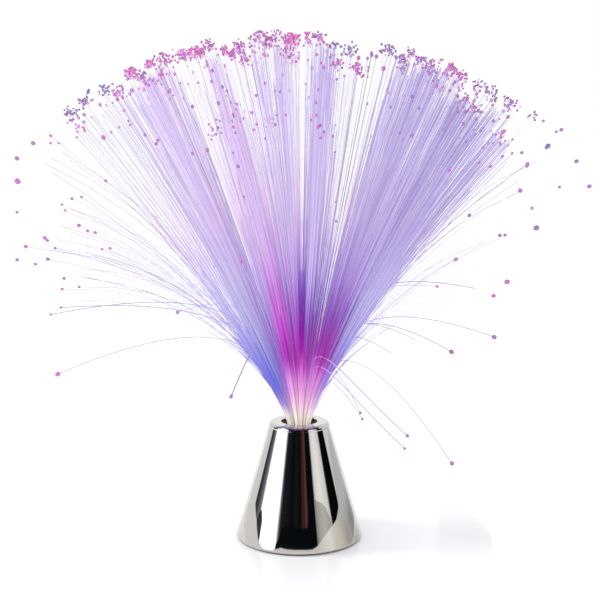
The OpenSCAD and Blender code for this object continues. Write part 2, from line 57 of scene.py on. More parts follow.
MM = 0.001
BLACK = (0.0, 0.0, 0.0, 1.0)
WHITE = (1.0, 1.0, 1.0, 1.0)

BUNDLE_TOP = 68.2 * MM  # height of the fibres' lower ends
FAN_CENTRE = np.array([0, 0, 73.4 * MM])  # where the spread fibres seem to come from
COLOUR_LENGTH = 0.24  # a full fibre's length, over which its colours run
TAPER = 7  # how quickly a fibre thins from root to tip
OFF_AXIS = (0.31, 0.92, 0.23)  # a direction that no fibre takes, which its sides are laid out from
BEAD_STRETCH = 0.18  # share by which a bead is longer than it is wide

# The bundle: the low leans of the fibres in its middle, how much further those at its edge lean to the side and to
# the back, and how much of its radius they fill
MIDDLE_LEANS = np.array([-2.5, 0])
EDGE_LEANS = np.array([31, 30])
BUNDLE_FILL = 0.98
# Shares of its low lean that a fibre has just above the bundle and where it bends
LIFT_LEAN = 0.14
BEND_LEAN = 0.97

# How light each strand of neighbouring fibres is, the low lean that a strand takes up and the furthest lean of all
STRANDS = np.random.default_rng(9).random(97)
STRAND_LEAN = 1.15
WIDEST_LEAN = 60


# ---------- settings ----------


class FibreSettings(bpy.types.PropertyGroup):
    """How the spray of fibres is drawn"""

    fullness: FloatProperty(
        name="Fullness", description="Share of the full number of ribbon fibres", default=1.0, min=0.2, max=1.5)
    single_count: IntProperty(
        name="Single fibres", description="Fibres that stand alone between the ribbons", default=110, min=0)
    droop_count: IntProperty(
        name="Drooping fibres", description="Thin fibres that hang out at the sides", default=56, min=0)
    length: FloatProperty(
        name="Length", description="From the sleeve to the bead", default=0.239, subtype="DISTANCE")
    bundle_radius: FloatProperty(
        name="Bundle radius", description="Of the bundle in the neck", default=0.0066, subtype="DISTANCE")
    rise: FloatProperty(
        name="Rise", description="How far fibres rise before they fan out", default=0.020, subtype="DISTANCE")
    root_width: FloatProperty(
        name="Root width", description="Thickness of a fibre at the sleeve", default=0.00072, subtype="DISTANCE")
    tip_width: FloatProperty(
        name="Tip width", description="Thickness of a fibre near its bead", default=0.00038, subtype="DISTANCE")
    view: FloatProperty(
        name="View", description="Distance in front from which the knots of beads line up", default=0.827,
        subtype="DISTANCE")
    seed: IntProperty(name="Seed", description="Start of the random draws", default=11)


class BeadSettings(bpy.types.PropertyGroup):
    """The beads on the fibre tips"""

    width: FloatProperty(name="Width", description="Mean diameter of a bead", default=0.0019, subtype="DISTANCE")
    spread: FloatProperty(
        name="Spread", description="Share by which beads differ in size", default=0.22, min=0, max=0.5)


class StudioSettings(bpy.types.PropertyGroup):
    """Camera and table"""

    distance: FloatProperty(
        name="Distance", description="From the axis to the camera", default=0.827, subtype="DISTANCE")
    height: FloatProperty(
        name="Height", description="Of the camera above the table", default=0.292, subtype="DISTANCE")
    tilt: FloatProperty(
        name="Tilt", description="Of the camera below the level", default=math.radians(9.78), subtype="ANGLE")
    lens: FloatProperty(
        name="Lens", description="Focal length on a 36 mm sensor", default=82.7, subtype="DISTANCE_CAMERA")
    table_width: FloatProperty(
        name="Table", description="Width of the pale table", default=8.0, subtype="DISTANCE")


# ---------- node helpers ----------


def srgb(red, green, blue):
    """A colour given as 0 to 255 display values, as scene linear red, green, blue and 1."""
    linear = []
    for value in (red, green, blue):
        value /= 255
        linear.append(value / 12.92 if value <= 0.04045 else ((value + 0.055) / 1.055) ** 2.4)
    return (*linear, 1.0)


def grey(value, warm=0.0):
    """A scene linear grey, made warmer by this share."""
    return (value * (1 + warm), value, value * (1 - warm), 1.0)


def cold(value):
    """A scene linear blue grey."""
    return (value * 0.8, value, value * 1.35, 1.0)


def add(tree, kind, **settings):
    """A new node of that kind, with its properties set."""
    node = tree.nodes.new(kind)
    for name, value in settings.items():
        setattr(node, name, value)
    return node


def set_socket(tree, socket, value):
    """Sets an input to a value, or links it to an output."""
    if hasattr(value, "is_output"):
        tree.links.new(value, socket)
    else:
        socket.default_value = value


def set_inputs(tree, node, **values):
    """Sets or links a node's inputs, named with _ for each space."""
    for name, value in values.items():
        set_socket(tree, node.inputs[name.replace("_", " ")], value)


def math_node(tree, operation, a, b=None, c=None, clamp=False):
    """The output of a Math node on these values or sockets."""
    node = add(tree, "ShaderNodeMath", operation=operation, use_clamp=clamp)
    for socket, value in zip(node.inputs, (a, b, c)):
        if value is not None:
            set_socket(tree, socket, value)
    return node.outputs[0]


def ramp(tree, factor, stops):
    """The colour output of a ramp with these (place, colour) stops."""
    node = add(tree, "ShaderNodeValToRGB")
    points = node.color_ramp.elements
    while len(points) < len(stops):
        points.new(0.5)
    for point, (place, _) in zip(points, stops):
        point.position = place
    for point, (_, colour) in zip(points, stops):
        point.color = colour
    tree.links.new(factor, node.inputs[0])
    return node.outputs[0]


def display_ramp(tree, factor, stops):
    """The same with (place, red, green, blue) stops in display values."""
    return ramp(tree, factor, [(place, srgb(*colour)) for place, *colour in stops])


def fade(tree, factor, low, high):
    """A ramp that is black up to low and white from high on."""
    return ramp(tree, factor, [(low, BLACK), (high, WHITE)])


def share_at(degrees):
    """A turn from the front as a share: 0 and 1 lie behind, 0.5 in front, more to the right."""
    return 0.5 + degrees / 360


def turn_share(tree, coordinates):
    """The turn that these coordinates lie at, as such a share, and their height."""
    split = add(tree, "ShaderNodeSeparateXYZ")
    set_inputs(tree, split, Vector=add(tree, "ShaderNodeTexCoord").outputs[coordinates])
    minus_y = math_node(tree, "MULTIPLY", split.outputs["Y"], -1.0)
    turn = math_node(tree, "ARCTAN2", split.outputs["X"], minus_y)
    return math_node(tree, "MULTIPLY_ADD", turn, 1 / (2 * math.pi), 0.5), split.outputs["Z"]


def mix_colour(tree, factor, a, b, blend="MIX"):
    """The colour output of a Mix node between colours or sockets a and b."""
    node = add(tree, "ShaderNodeMix", data_type="RGBA", blend_type=blend)
    for index, value in ((0, factor), (6, a), (7, b)):
        set_socket(tree, node.inputs[index], value)
    return node.outputs[2]


def new_group(name, inputs, outputs):
    """A shader node group with number inputs and these kinds of output: (tree, its inputs, its outputs)."""
    tree = bpy.data.node_groups.new(name, "ShaderNodeTree")
    for socket_name, default in inputs.items():
        socket = tree.interface.new_socket(name=socket_name, in_out="INPUT", socket_type="NodeSocketFloat")
        socket.default_value = default
    for socket_name, kind in outputs.items():
        tree.interface.new_socket(name=socket_name, in_out="OUTPUT", socket_type=f"NodeSocket{kind}")
    return tree, add(tree, "NodeGroupInput"), add(tree, "NodeGroupOutput")


def use_group(tree, group, **values):
    """A group node in tree, with its inputs set or linked."""
    node = add(tree, "ShaderNodeGroup", node_tree=group)
    set_inputs(tree, node, **values)
    return node


def new_material(name):
    """A material with a Principled BSDF: (material, tree, principled node)."""
    material = bpy.data.materials.new(name)
    material.use_nodes = True
    return material, material.node_tree, material.node_tree.nodes["Principled BSDF"]


def surface_wear_group():
    """Fine handling wear: uneven roughness, a slight mottle and a grain's bump, in object space."""
    tree, given, out = new_group(
        "Surface wear",
        {"Grain scale": 900.0, "Grain height": 0.1, "Roughness": 0.4, "Unevenness": 0.1},
        {"Roughness": "Float", "Mottle": "Float", "Normal": "Vector"},
    )
    place = add(tree, "ShaderNodeTexCoord").outputs["Object"]
    smudge = add(tree, "ShaderNodeTexNoise")
    set_inputs(tree, smudge, Scale=45, Detail=4, Vector=place)
    grain = add(tree, "ShaderNodeTexNoise")
    set_inputs(tree, grain, Scale=given.outputs["Grain scale"], Detail=2, Vector=place)
    bump = add(tree, "ShaderNodeBump")
    set_inputs(tree, bump, Distance=0.1 * MM, Strength=given.outputs["Grain height"], Height=grain.outputs[0])
    centred = math_node(tree, "SUBTRACT", smudge.outputs[0], 0.5)
    change = math_node(tree, "MULTIPLY", centred, given.outputs["Unevenness"])
    rough = math_node(tree, "ADD", given.outputs["Roughness"], change, clamp=True)
    set_inputs(tree, out, Roughness=rough, Mottle=smudge.outputs[0], Normal=bump.outputs[0])
    return tree


def worn_material(name, colour, roughness, metallic=0.0, grain_scale=900.0, grain_height=0.1, mottle=0.12, **inputs):
    """A material for a hard part: its colour mottled a little, with the shared wear on roughness and bump."""
    group = bpy.data.node_groups.get("Surface wear") or surface_wear_group()
    material, tree, shader = new_material(name)
    wear = use_group(tree, group, Grain_scale=grain_scale, Grain_height=grain_height, Roughness=roughness,
                     Unevenness=0.35 * roughness)
    darker = (*[channel * (1 - mottle) for channel in colour[:3]], 1.0)
    lighter = (*[min(channel * (1 + mottle), 1) for channel in colour[:3]], 1.0)
    mottled = mix_colour(tree, wear.outputs["Mottle"], darker, lighter)
    set_inputs(tree, shader, Base_Color=mottled, Roughness=wear.outputs["Roughness"], Normal=wear.outputs["Normal"],
               Metallic=metallic, **inputs)
    return material


def new_object(name, data):
    """A new object in the scene."""
    thing = bpy.data.objects.new(name, data)
    bpy.context.scene.collection.objects.link(thing)
    return thing


def new_mesh(name, verts, faces, **attributes):
    """A smooth mesh of these blocks of points and faces, with values at its points."""
    mesh = bpy.data.meshes.new(name)
    mesh.from_pydata(np.concatenate(verts).tolist(), [], np.concatenate(faces).tolist())
    for attribute, values in attributes.items():
        layer = mesh.attributes.new(attribute, "FLOAT", "POINT")
        layer.data.foreach_set("value", values.astype(np.float32))
    mesh.shade_smooth()
    mesh.update()
    return mesh


def dress(material, *node_names):
    """Gives these CAD nodes one material."""
    for node_name in node_names:
        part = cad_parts[node_name]
        if not part.material_slots:
            raise RuntimeError(f"{node_name} has no material slot")
        for slot in part.material_slots:
            slot.material = material


# ---------- fibres ----------


class Fibre:
    """One fibre: its curve's four control points, its width, its bead's size and hue, and its place in the colours.

    With stretch a short fibre runs through all the colours that a full one has along its length.
    """

    def __init__(self, points, width=1.0, bead=1.0, hue=None, tint=0.5, shade=0.5, grain=0.5, stretch=False):
        self.points, self.width, self.bead, self.hue, self.stretch = points, width, bead, hue, stretch
        self.tint, self.shade, self.grain = tint, shade, grain

    def curve(self, parts):
        """Points along the fibre, closer together where it bends near the bundle."""
        t = (np.linspace(0, 1, parts + 1) ** 1.5)[:, None]
        a, b, c, d = self.points
        return (1 - t) ** 3 * a + 3 * t * (1 - t) ** 2 * b + 3 * t**2 * (1 - t) * c + t**3 * d


def fan_way(side, front, tame=1.0):
    """Unit vector that leans to the side and to the back by these degrees, as seen from the front."""
    way = np.array([math.tan(math.radians(tame * side)), math.tan(math.radians(tame * front)), 1.0])
    return way / np.linalg.norm(way)


def leans_of(way):
    """How far a vector leans to the side and to the back, in degrees."""
    return (math.degrees(math.atan2(way[axis], way[2])) for axis in (0, 1))


def fan_fibre(settings, side, front, share, low_side, hold=0.4, **looks):
    """A fibre that rises with the bundle and then fans out to its tip, at a share of the full length.

    Low in the fan it leans by low_side, so that ribbons part only higher up; hold says how far up it keeps to that.
    The grain's eighths are shared by fibres that leave the bundle side by side, which draws its root in strands.
    """
    strand = int(8 * STRANDS[int((low_side + WIDEST_LEAN) / STRAND_LEAN) % len(STRANDS)])
    looks["grain"] = (strand + 0.98 * looks["grain"]) / 8
    place = (np.array([low_side, front]) - MIDDLE_LEANS) / EDGE_LEANS
    place /= max(1.0, np.linalg.norm(place) / BUNDLE_FILL)
    root = np.array([*(settings.bundle_radius * place), BUNDLE_TOP])
    rise = settings.rise * (1.15 - 0.3 * np.linalg.norm(place))
    early = fan_way(low_side, front, LIFT_LEAN)
    lift = root + rise * early / early[2]
    reach = settings.length * share
    bend = FAN_CENTRE + hold * reach * fan_way(low_side, front, BEND_LEAN)
    return Fibre([root, lift, bend, FAN_CENTRE + reach * fan_way(side, front)], **looks)


def tube_mesh(name, curves, widths, shades, stretched, sides=4):
    """One mesh of thin tubes along the curves, with how far along (m), and the fibre's own tint, shade and grain."""
    verts, faces, along = [], [], []
    ring = np.linspace(0, 2 * math.pi, sides, endpoint=False)
    start = 0
    for curve, (wide, thin), stretch in zip(curves, widths, stretched):
        way = np.gradient(curve, axis=0)
        way /= np.linalg.norm(way, axis=1)[:, None]
        side = np.cross(way, OFF_AXIS)
        side /= np.linalg.norm(side, axis=1)[:, None]
        up = np.cross(side, way)
        count = len(curve)
        step = np.r_[0, np.cumsum(np.linalg.norm(np.diff(curve, axis=0), axis=1))]
        share = step / step[-1]
        radius = 0.5 * (thin + (wide - thin) * np.exp(-share * TAPER))
        rings = curve[:, None] + radius[:, None, None] * (
            np.cos(ring)[None, :, None] * side[:, None] + np.sin(ring)[None, :, None] * up[:, None])
        verts.append(rings.reshape(-1, 3))
        index = start + np.arange((count - 1) * sides).reshape(count - 1, sides)
        nxt = np.roll(index, -1, axis=1)
        faces.append(np.stack([index, nxt, nxt + sides, index + sides], -1).reshape(-1, 4))
        along.append(np.repeat(share * max(step[-1], COLOUR_LENGTH) if stretch else step, sides))
        start += count * sides
    tint, shade, grain = np.repeat(shades, [len(curve) * sides for curve in curves], axis=0).T
    return new_mesh(name, verts, faces, along=np.concatenate(along), tint=tint, shade=shade, grain=grain)


def bead_mesh(name, places, sizes, hues):
    """One mesh of small round beads, each a little longer along its fibre, with its own hue."""
    ball = bmesh.new()
    bmesh.ops.create_icosphere(ball, subdivisions=2, radius=0.5)
    ball_verts = np.array([v.co for v in ball.verts])
    ball_faces = np.array([[v.index for v in f.verts] for f in ball.faces])
    ball.free()
    verts, faces, hue = [], [], []
    for number, ((place, way), size, own_hue) in enumerate(zip(places, sizes, hues)):
        along = ball_verts @ way
        grown = ball_verts + BEAD_STRETCH * along[:, None] * way[None]
        verts.append(place + size * grown)
        faces.append(ball_faces + number * len(ball_verts))
        hue.append(np.full(len(ball_verts), own_hue))
    return new_mesh(name, verts, faces, hue=np.concatenate(hue))


def show(name, mesh, material):
    """A new object that rides on the spray."""
    mesh.materials.append(material)
    thing = new_object(name, mesh)
    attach(thing, "spray")
    return thing


# Ribbons of fibres: lean to the side, width and spread to the back, number of fibres, reach as a share of the full
# length, tint near the bundle (0 magenta, 0.5 violet, 1 blue), shade far out (0.2 blue, 0.9 pink), share with beads
RIBBONS = (
    (-34.5, 4.0, 9, 8, 0.960, 1.00, 0.50, 0.3), (-27.6, 4.8, 12, 56, 0.965, 1.00, 0.52, 0.2),
    (-22.3, 4.4, 12, 184, 0.970, 0.90, 0.66, 0.15), (-19.4, 1.6, 13, 8, 0.965, 0.30, 0.60, 0.3),
    (-16.6, 3.0, 14, 6, 0.970, 0.05, 0.60, 0.4), (-13.0, 2.2, 13, 78, 0.960, 0.02, 0.68, 0.2),
    (-11.2, 1.6, 13, 68, 0.840, 0.00, 0.74, 0.3), (-6.2, 2.2, 14, 44, 0.970, 0.20, 0.58, 0.3),
    (-2.6, 2.4, 13, 76, 0.970, 0.40, 0.54, 0.2), (2.8, 1.6, 13, 58, 0.970, 0.50, 0.50, 0.15),
    (4.4, 2.2, 14, 108, 0.965, 0.50, 0.46, 0.15), (6.8, 1.6, 14, 8, 0.780, 0.50, 0.46, 0.3),
    (9.6, 2.4, 14, 3, 0.620, 0.50, 0.46, 0.3), (14.2, 2.0, 14, 26, 0.965, 0.42, 0.34, 0.2),
    (17.2, 3.0, 13, 102, 0.970, 0.40, 0.30, 0.12), (20.4, 3.0, 13, 152, 0.970, 0.42, 0.28, 0.1),
    (23.0, 2.0, 14, 42, 0.965, 0.58, 0.26, 0.2), (25.8, 2.2, 12, 116, 0.930, 0.68, 0.24, 0.15),
    (28.2, 2.2, 12, 98, 0.920, 0.72, 0.22, 0.2), (30.8, 2.4, 12, 46, 0.945, 0.76, 0.24, 0.2),
    (34.6, 3.4, 9, 54, 0.900, 0.82, 0.30, 0.3),
)

# Knots of beads at the fibres' tips: lean to the side, reach as a share of the full length, half spread of each,
# number of beads and their hue (0 magenta, 0.4 mauve, 0.7 purple, 0.95 grey, 1 blue)
KNOTS = (
    (-35.8, 0.932, 0.7, 0.011, 8, 0.24), (-35.8, 0.974, 1.32, 0.015, 27, 0.85), (-32.9, 0.975, 0.79, 0.012, 34, 0.80),
    (-31.8, 0.992, 0.35, 0.005, 10, 0.98), (-29.8, 0.976, 0.7, 0.013, 23, 0.99), (-28.3, 0.958, 0.88, 0.021, 27, 0.25),
    (-25.1, 0.980, 0.79, 0.012, 76, 0.20), (-24.0, 0.962, 0.7, 0.015, 28, 0.31), (-22.1, 0.985, 0.62, 0.008, 34, 0.20),
    (-21.0, 0.896, 0.7, 0.011, 18, 0.20), (-20.4, 0.944, 0.53, 0.006, 9, 0.24), (-19.8, 0.980, 1.23, 0.015, 48, 0.24),
    (-17.0, 0.974, 0.97, 0.013, 57, 0.25), (-15.5, 0.773, 1.32, 0.020, 28, 0.20), (-14.9, 0.972, 0.88, 0.015, 86, 0.08),
    (-13.2, 0.983, 0.79, 0.012, 38, 0.27), (-12.5, 0.791, 0.53, 0.007, 8, 0.34), (-11.1, 0.962, 0.44, 0.010, 34, 0.15),
    (-10.3, 0.784, 0.53, 0.008, 4, 0.20), (-10.1, 0.950, 0.62, 0.014, 28, 0.20), (-8.9, 0.966, 0.7, 0.015, 57, 0.37),
    (-8.5, 0.927, 0.62, 0.012, 34, 0.27), (-5.0, 0.773, 1.14, 0.011, 20, 0.10), (-4.7, 0.972, 2.2, 0.020, 133, 0.34),
    (-2.8, 0.844, 1.23, 0.013, 11, 0.24), (-1.4, 0.927, 1.14, 0.016, 76, 0.25), (-1.1, 0.967, 0.97, 0.017, 114, 0.05),
    (1.2, 0.971, 0.44, 0.015, 27, 0.20), (2.8, 0.980, 0.88, 0.009, 30, 0.34), (5.4, 0.961, 0.7, 0.013, 18, 0.88),
    (5.9, 0.914, 0.88, 0.015, 33, 0.15), (7.6, 0.954, 0.88, 0.017, 24, 0.88), (9.2, 0.908, 1.41, 0.015, 33, 0.25),
    (13.1, 0.970, 1.06, 0.011, 38, 0.86), (15.4, 0.959, 0.7, 0.010, 33, 0.66), (15.9, 0.936, 0.44, 0.009, 11, 0.60),
    (16.5, 0.978, 0.62, 0.010, 24, 0.50), (18.2, 0.970, 0.7, 0.010, 24, 0.60), (19.9, 0.959, 0.79, 0.015, 42, 0.50),
    (20.4, 0.982, 0.62, 0.007, 9, 0.20), (20.3, 0.791, 0.53, 0.008, 6, 0.60), (21.8, 0.920, 0.88, 0.015, 36, 0.25),
    (22.4, 0.956, 0.62, 0.009, 18, 0.55), (22.9, 0.977, 0.7, 0.010, 39, 0.20), (24.6, 0.971, 0.7, 0.011, 36, 0.18),
    (24.9, 0.947, 0.62, 0.011, 12, 0.35), (25.6, 0.827, 0.7, 0.009, 10, 0.35), (26.7, 0.926, 0.62, 0.008, 18, 0.25),
    (27.6, 0.963, 0.97, 0.015, 24, 0.70), (28.5, 0.914, 0.79, 0.010, 21, 0.40), (29.6, 0.966, 1.06, 0.017, 21, 0.75),
    (32.9, 0.967, 1.14, 0.015, 39, 0.70), (36.4, 0.976, 0.7, 0.009, 10, 0.70),
)

# Lean of a fibre far out and its lean low in the fan, as far as the photograph shows where ribbons lead
LOW_LEANS = (
    (-42, -33), (-36, -31), (-30, -27), (-24.5, -19.5), (-20, -17.5), (-17, -15), (-14.3, -13), (-13, -8.5),
    (-11, -3.5), (-6, -0.5), (-2, -0.5), (1, 1.5), (4, 5), (7, 9), (10, 11), (13, 12.5), (15, 14), (20, 16.5),
    (21.5, 18), (23.5, 21), (28, 23), (32, 24.3), (36, 25.5), (44, 26.5),
)


def clipped(rng, spread, low, high):
    """A normal draw round 0, kept between low and high."""
    return float(np.clip(rng.normal(0, spread), low, high))


def length_share(rng):
    """Most fibres end close under the fan's outline, and a few stop well inside it."""
    pick = rng.random()
    if pick < 0.8:
        return 1 - 0.03 * rng.random()
    if pick < 0.96:
        return 0.97 - 0.08 * rng.random()
    return 0.89 - 0.17 * rng.random()


def low_lean(side):
    """The lean of a fibre low in the fan, from its lean higher up."""
    return float(np.interp(side, *zip(*LOW_LEANS)))


def ribbon_fibres(settings):
    """The ribbons, each a thick sheet of fibres; some of the middle ones' fibres lean well to the front or back."""
    rng = np.random.default_rng(settings.seed)
    ribbons = []
    for side, width, spread, count, reach, tint, shade, beads in RIBBONS:
        fibres = []
        for number in range(int(count * settings.fullness)):
            to_side = side + width * (rng.random() - 0.5)
            low_side = low_lean(to_side) + rng.normal(0, 0.8)
            to_side += rng.normal(0, 0.2)
            to_front = clipped(rng, spread, -34, 34)
            if number % (4 if abs(side) < 16 else 12) == 0 and abs(side) < 21:
                to_front = math.copysign(rng.uniform(17, 37), to_front)
            size = rng.uniform(0.62, 0.9) if rng.random() < beads or abs(to_front) > 32 else 0.0
            fibres.append(fan_fibre(
                settings, to_side, to_front, reach * length_share(rng), low_side, bead=size,
                width=rng.uniform(0.85, 1.15), tint=tint + rng.normal(0, 0.06), shade=shade + rng.normal(0, 0.04),
                grain=rng.random()))
        ribbons.append(fibres)
    return ribbons


def knot_fibres(settings):
    """Finer fibres whose tips gather in knots of beads along the outline, which line up as seen from the front."""
    rng = np.random.default_rng(settings.seed + 3)
    eye = FAN_CENTRE + np.array([0, -settings.view, 0.92 * settings.length])
    fibres = []
    for side, reach, wide, deep, count, hue in KNOTS:
        for _ in range(count):
            to_side = side + wide * clipped(rng, 0.6, -1.2, 1.2)
            share = reach + deep * clipped(rng, 0.6, -1.2, 1.1)
            depth = clipped(rng, 0.036, -0.08, 0.08)
            flat_tip = FAN_CENTRE + settings.length * share * fan_way(to_side, 0)
            tip = eye + (flat_tip - eye) * (1 + depth / settings.view) - FAN_CENTRE
            lean, back = leans_of(tip)
            fibres.append(fan_fibre(
                settings, lean, back, np.linalg.norm(tip) / settings.length, low_lean(lean) + rng.normal(0, 1.0),
                width=0.3, bead=rng.uniform(0.5, 0.8),
                hue=rng.uniform(0.86, 0.92) if rng.random() < 0.16 else hue + rng.normal(0, 0.09),
                tint=0.45 + 0.5 * abs(lean) / (26 if lean < 0 else 36), shade=1.0 if rng.random() < 0.88 else 0.3,
                grain=rng.random()))
    return fibres


def single_fibres(settings):
    """Thin fibres that stand alone in the gaps between the ribbons, and some that droop at the fan's sides."""
    rng = np.random.default_rng(settings.seed + 1)
    fibres = []
    for _ in range(settings.single_count):
        side = rng.uniform(-37, 33)
        share = 0.965 * length_share(rng)
        fibres.append(fan_fibre(
            settings, side, clipped(rng, 10, -30, 30), share, low_lean(side), width=0.75,
            bead=rng.uniform(0.8, 1.15), tint=0.45 + 0.5 * abs(side) / 38, shade=0.06 * rng.random(),
            grain=rng.random()))
    for number in range(settings.droop_count):
        side = -rng.uniform(39, WIDEST_LEAN) if number % 6 < 5 else rng.uniform(36, 46)
        share = rng.uniform(0.64, 0.84) if abs(side) > 44 else rng.uniform(0.8, 0.96)
        fibres.append(fan_fibre(
            settings, side, rng.normal(0, 10), share, math.copysign(rng.uniform(22, 29), side),
            hold=rng.uniform(0.5, 0.62), width=0.66, bead=rng.uniform(0.8, 1.2) * (rng.random() < 0.3),
            tint=0.95, shade=1.0 if rng.random() < 0.25 else 0.25 * rng.random(), grain=rng.random()))
    return fibres


# Stray fibres: tip to the side, tip to the back and tip height in mm, the height of their crest (0 where they only
# lean), and the bead's size against the others' (0 where they have none)
STRAYS = (
    (-157, -10, 245, 0, 1.0), (-153, 25, 243, 0, 0.8), (-154, 60, 241, 0, 0.8), (-173, 20, 234, 0, 1.1),
    (-166, -15, 223, 0, 1.5), (-172, 10, 202, 0, 1.0), (-146, 30, 201, 0, 0.8), (-150, -20, 190, 0, 0.9),
    (-124, 5, 190, 0, 1.0), (-174, 15, 172, 0, 0.9), (-158, -10, 173, 0, 0.8), (-148, 30, 158, 0, 0.9),
    (-147, 10, 143, 139, 0.9), (-146, -30, 146, 150, 0.7), (-147, -8, 105, 134, 1.2), (-41, -20, 94, 147, 1.0),
    (148, 15, 257, 0, 1.0), (154, -12, 253, 0, 1.1), (158, 25, 250, 0, 1.0), (145, -20, 244, 0, 1.2),
    (153, 30, 240, 0, 1.0), (135, 12, 238, 0, 0.9), (134, -15, 232, 0, 0.9), (168, 10, 233, 0, 1.0),
    (171, -15, 220, 0, 1.0), (161, 25, 216, 0, 1.1), (135, 15, 215, 0, 1.3), (141, 5, 205, 0, 0.9),
    (141, -12, 195, 0, 1.3), (105, 20, 199, 0, 1.1), (120, -8, 190, 0, 1.1), (127, 18, 187, 0, 1.1),
    (96, 10, 173, 0, 1.2), (124, -15, 163, 0, 1.2), (120, 12, 150, 0, 1.3), (121, 12, 124, 142, 1.3),
    (95, 15, 114, 140, 1.2), (64, -36, 74, 134, 1.1), (62, -42, 68, 127, 1.0), (40, 22, 69, 103, 1.1),
    (97, 18, 41, 126, 1.2), (39, 26, 72, 116, 0.8), (150, 22, 174, 0, 0), (145, -25, 178, 0, 0),
    (72, 14, 122, 136, 0), (58, 20, 112, 128, 0), (109, 16, 154, 158, 0), (-90, 34, 196, 0, 0.8),
    (-132, -28, 214, 0, 0.9), (6, 146, 180, 0, 1.0), (-60, 136, 150, 150, 1.0), (70, 136, 190, 0, 1.0),
    (-30, -120, 190, 0, 0.8), (35, 128, 110, 140, 1.1), (-85, 120, 120, 140, 1.1), (95, 110, 140, 146, 1.0),
)


def stray_fibres(settings):
    """Fibres that have bent out of the fan, each to its own tip: over a crest, or only leaning.

    The two that arch over the front on the right leave the bundle at its front, and are thick and magenta.
    """
    rng = np.random.default_rng(settings.seed + 2)
    fibres = []
    for x, y, z, crest, bead in STRAYS:
        tip = np.array([x, y, z]) * MM
        out = np.array([x, y, 0]) / math.hypot(x, y)
        in_front = bool(crest) and y < 0 < x
        place = np.array([0.45, -0.55, 0]) if in_front else (0.9 if crest else 0.6) * out
        root = settings.bundle_radius * place + np.array([0, 0, BUNDLE_TOP])
        if crest:
            forward, early = (-0.013, 0.014) if in_front else (0.0, -0.005)
            lift = np.array([root[0] + 0.03 * tip[0], root[1] + forward, crest * MM + early])
            bend = np.array([(0.2 if in_front else 0.36) * tip[0], 0.36 * tip[1] + 1.6 * forward,
                             crest * MM + 0.005 - 1.3 * early])
        else:
            reach = np.linalg.norm(tip - root)
            lean, back = leans_of(tip - FAN_CENTRE)
            lift = root + 0.12 * reach * np.array([0.12 * out[0], 0.12 * out[1], 1])
            bend = FAN_CENTRE + 0.55 * reach * fan_way(np.clip(lean, -34, 28), np.clip(back, -30, 30))
        width = 0.62 if not crest else 2.3 if y < 0 and abs(x) < 100 else 1.3
        fibres.append(Fibre(
            [root, lift, bend, tip], width=width * rng.uniform(0.9, 1.1), bead=1.1 * bead, stretch=bool(crest),
            tint=0.1 if in_front else 0.7 + 0.2 * rng.random(), grain=0.99 if in_front else 0.56,
            shade=1.0 if not crest else 0.3 if in_front else 0.07 + 0.08 * rng.random()))
    return fibres


